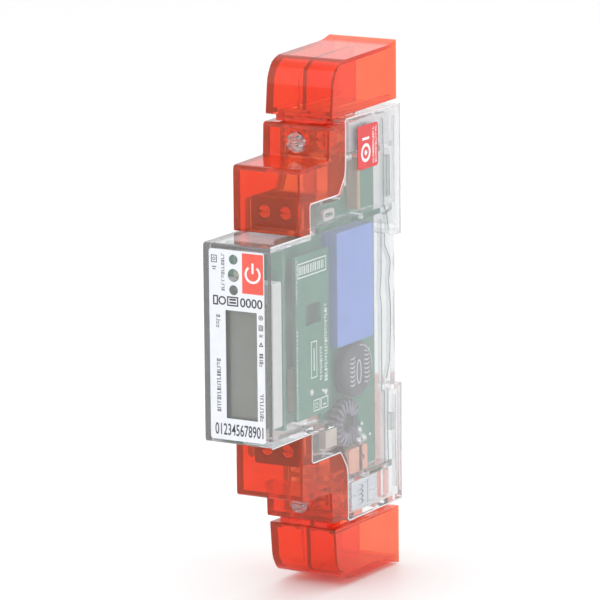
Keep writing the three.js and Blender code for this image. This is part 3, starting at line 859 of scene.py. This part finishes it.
lensLook = {
    # inset of the lens from its collar, where the collar starts and is full, and the tip's radius
    "inset": 0.25, "collarFrom": 1.75, "collarFull": 1.7, "tip": 0.02,
    "kinds": {
        "infrared_emitter": (darkLens, "dark_lens"),
        "pulse_light": (paleLens, "light_lens"),
        "infrared_receiver": (darkLens, "dark_lens"),
    },
}


def buildLights(look):
    for name, (finish, slot) in look["kinds"].items():
        low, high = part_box(name)
        middle = [(low[0] + high[0]) / 2.0 / mm, (low[2] + high[2]) / 2.0 / mm]
        flange = (high[0] - low[0]) / 2.0 / mm
        radius = flange - look["inset"]
        front, back = low[1] / mm, high[1] / mm
        profile = [(front + radius - radius * math.cos(t), max(radius * math.sin(t), look["tip"]))
                   for t in quarterTurn]
        profile += [(back - look["collarFrom"], radius), (back - look["collarFull"], flange), (back, flange)]
        piece = finishMesh(name + "_dome", turnedMesh(profile, "y", middle), finish)
        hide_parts(name)


varistorLook = {
    # rounded rim, the flat beside it and the shallow dish that holds the painted highlights
    "rim": 1.25, "face": 0.9, "dish": 0.12, "slope": 0.4, "middle": 0.05, "sides": 64, "ink": 0.9,
    # columns of curls, painted highlights of wire turns: y, z, how many, how wide
    "columns": [(-19.6, -16.2, 7, 2.4), (-13.0, -16.4, 8, 2.7)],
    "pitch": 1.05, "rise": 0.75, "line": 0.3, "taper": 0.06,
    "from": 200, "sweep": 140, "steps": 8,                  # turns in degrees
    "oval": (-15.4, -13.2, 1.1, 0.3, 2.9),
    "arc": {"past": 0.4, "from": -10, "sweep": 100, "steps": 20, "inner": 0.965},
}


def buildVaristor(look):
    low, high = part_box("varistor_disc")
    radius = (high[2] - low[2]) / 2.0 / mm
    center = [(low[1] + high[1]) / 2.0 / mm, (low[2] + high[2]) / 2.0 / mm]
    start, end = low[0] / mm, high[0] / mm
    rim, dish = look["rim"], look["dish"]
    profile = [(start, radius - rim)]
    profile += [(start + rim - rim * math.cos(t), radius - rim + rim * math.sin(t)) for t in quarterTurn]
    profile += [(end - rim + rim * math.sin(t), radius - rim + rim * math.cos(t)) for t in quarterTurn]
    profile += [(end - dish * look["slope"], radius - rim - look["face"]), (end - dish, look["middle"])]
    body = turnedMesh(profile, "x", center, look["sides"])
    disc = finishMesh("varistor_body", body, varistorCoat)
    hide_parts("varistor_disc")
    # white curls drawn on the disc as painted highlights of wire turns
    loops = []
    for y, z, count, wide in look["columns"]:
        half = wide / 2
        for k in range(count):
            base = z + k * look["pitch"] + look["rise"]
            out = arc(y + half, base, half, look["rise"], look["from"], look["sweep"], look["steps"])
            back = [(a, b + look["line"] - look["taper"] * abs(a - y - half)) for a, b in out[::-1]]
            loops.append(out + back)
    loops += ring(*look["oval"])
    # a thin light arc near the disc's edge, a painted highlight
    edge = look["arc"]
    reach = radius - rim + edge["past"]
    outer = arc(center[0], center[1], reach, reach, edge["from"], edge["sweep"], edge["steps"])
    inner = [(center[0] + (a - center[0]) * edge["inner"], center[1] + (b - center[1]) * edge["inner"])
             for a, b in outer[::-1]]
    loops.append(outer + inner)
    markPiece("varistor_painted_highlights", loops, sideways, end - dish, dish * look["ink"], whiteInkAndHighlight)


# choke: one enamelled wire wound round its ring

chokeLook = {
    "turns": 17, "stepsPerTurn": 24, "wire": 0.42, "hole": 2.1,
    "gapHalf": 28.0, "squareness": 0.6,                     # degrees; 1 is a round turn
}


def buildChokeWire(look):
    low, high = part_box("choke_winding")
    coreLow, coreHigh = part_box("choke_core")
    x = (low[0] + high[0]) / 2.0 / mm
    y = (coreLow[1] + coreHigh[1]) / 2.0 / mm
    z = (coreLow[2] + coreHigh[2]) / 2.0 / mm
    outer = (high[2] - low[2]) / 2.0 / mm - look["wire"]
    inner = look["hole"] + look["wire"]
    middle, halfRing = (outer + inner) / 2.0, (outer - inner) / 2.0
    halfWide = (high[0] - low[0]) / 2.0 / mm - look["wire"]
    data = bpy.data.curves.new("choke_wire", "CURVE")
    data.dimensions = "3D"
    data.bevel_depth = look["wire"] * mm
    data.bevel_resolution = 3
    data.use_fill_caps = True
    total = look["turns"] * look["stepsPerTurn"]
    spline = data.splines.new("POLY")
    spline.points.add(total)
    sweep = 360.0 - 2.0 * look["gapHalf"]
    for k in range(total + 1):
        share = k / total
        around = math.radians(look["gapHalf"] + sweep * share)
        twist = 2.0 * math.pi * look["turns"] * share
        c, s = math.cos(twist), math.sin(twist)
        squareC = math.copysign(abs(c) ** look["squareness"], c)
        squareS = math.copysign(abs(s) ** look["squareness"], s)
        radius = middle + halfRing * squareC
        spline.points[k].co = ((x + halfWide * squareS) * mm, (y + radius * math.cos(around)) * mm,
                               (z + radius * math.sin(around)) * mm, 1.0)
    mesh = meshOf("choke_wire", data)
    for face in mesh.polygons:
        face.use_smooth = True
    wire = addPiece("choke_wire", mesh, enamelWire)
    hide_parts("choke_winding")


# shunt plate: stands beside the lower bar, parallel to the board

shuntLook = {
    "from": 5.9, "thick": 1.1, "plate": (-20.0, -36.9, -11.4, -31.0), "corner": 0.7,
    "hole": (-13.4, -33.9, 0.75), "edge": 0.15,
}


def buildShuntPlate(look):
    plate = [roundedBar(*look["plate"], look["corner"]), ellipse(*look["hole"], None, 24)]
    piece = markPiece("shunt_plate", plate, sideways, look["from"], look["thick"], rolledCopper)
    softEdges(piece, look["edge"])


# clear ribs moulded on the inside of the right wall, given as y and z in millimetres

ribShape = {
    "inner": 6.6, "outer": 7.56, "width": 0.42, "taper": 0.5, "edge": 0.08,
    "lines": [
        [(-3.6, 17.4), (-3.5, 14.6), (-1.5, 11.6), (-0.95, 10.1), (-1.8, 5.8), (-1.1, 1.0), (-0.95, -4.0),
         (-1.6, -13.4), (-3.1, -17.2)],
        [(-5.2, 21.0), (-5.3, 8.0), (-5.9, 4.0), (-5.2, 0.0), (-5.3, -20.0)],
        [(-4.2, 44.6), (-3.9, 36.5), (-3.8, 24.2)],
        [(-2.3, 35.6), (-2.3, 26.0), (-1.2, 26.0), (-1.2, 35.6), (-2.3, 35.6)],
        [(-3.6, 23.9), (-2.6, 22.0), (-1.6, 17.8)],
        [(1.0, 44.4), (1.1, 24.0)],
        [(-0.2, 22.9), (-1.6, 22.4), (-3.6, 22.1)],
        [(-2.4, -19.6), (-2.6, -31.0), (-2.3, -37.4)],
        [(-4.0, -20.0), (-4.1, -37.4)],
        [(1.2, -22.0), (1.0, -30.0), (1.4, -44.0)],
        [(-0.6, -26.0), (-0.6, -30.0), (0.4, -30.0), (0.4, -26.0), (-0.6, -26.0)],
        [(-21.0, -37.2), (-0.9, -37.2)],
    ],
}
# path of the painted highlight bead along the wall's edge, as y and z in millimetres
rimHighlightShape = {
    "level": 8.64, "radius": 0.2, "sides": 8,
    "line": [(-56.3, 23.05), (-38.85, 23.05), (-38.85, 29.6), (-38.3, 30.1), (-26.0, 30.15), (-25.3, 30.7),
             (-22.95, 34.0), (-22.45, 36.0), (-22.45, 46.6), (-21.8, 47.1), (2.6, 47.1), (2.95, 46.7)],
    # for each half, its side of the middle and where its line stops at the rail notch
    "ends": {"housing_rim_highlight_upper": (1.0, (2.95, 16.6)), "housing_rim_highlight_lower": (-1.0, (2.95, -19.4))},
}


def ribbonRows(line, half, levels):
    rows = []
    for k, (y, z) in enumerate(line):
        before = line[max(k - 1, 0)]
        after = line[min(k + 1, len(line) - 1)]
        way = Vector((after[0] - before[0], after[1] - before[1])).normalized()
        off = Vector((-way.y, way.x)) * half
        rows.append([(x, y + off.x * reach, z + off.y * reach) for x, reach in levels])
    return rows


def sweepRows(bm, rows):
    made = [[bm.verts.new([value * mm for value in point]) for point in row] for row in rows]
    count = len(made[0])
    for one, two in zip(made, made[1:]):
        for s in range(count):
            n = (s + 1) % count
            bm.faces.new((one[s], one[n], two[n], two[s]))
    bm.faces.new(made[0])
    bm.faces.new(made[-1][::-1])


def buildRibs(look):
    bm = bmesh.new()
    inner, outer, taper = look["inner"], look["outer"], look["taper"]
    levels = [(outer, 1.0), (inner, taper), (inner, -taper), (outer, -1.0)]
    for line in look["lines"]:
        sweepRows(bm, ribbonRows(line, look["width"] / 2.0, levels))
    ribs = finishMesh("housing_ribs", bm, clearRib, smooth=False)
    softEdges(ribs, look["edge"])


def buildRimHighlights(look):
    # a milky white bead along the moulded edge of the wall, a painted highlight where the edge catches the
    # light, along the covers and round the back
    radius = look["radius"]
    turn = [2.0 * math.pi * k / look["sides"] for k in range(look["sides"])]
    levels = [(look["level"] + radius * math.sin(t), math.cos(t)) for t in turn]
    for name, (flip, last) in look["ends"].items():
        bm = bmesh.new()
        line = [(y, z * flip) for y, z in look["line"]] + [last]
        sweepRows(bm, ribbonRows(line, radius, levels))
        finishMesh(name, bm, rimHighlight)


print("finishes ready")
dressNodes()
print("nodes dressed")
buildLabel(labelLook)
buildSticker(stickerLook)
print("label and sticker done")
buildBoardMarks(boardMarks)
buildSolder(solderLook)
buildLights(lensLook)
buildVaristor(varistorLook)
buildChokeWire(chokeLook)
buildShuntPlate(shuntLook)
buildRibs(ribShape)
buildRimHighlights(rimHighlightShape)
buildDisplayEdge(displayEdge)
buildClampMarks(clampMarks)
print("boards and their parts done")
placeCamera(cameraLook)
buildStudio(studio)
print("studio ready")
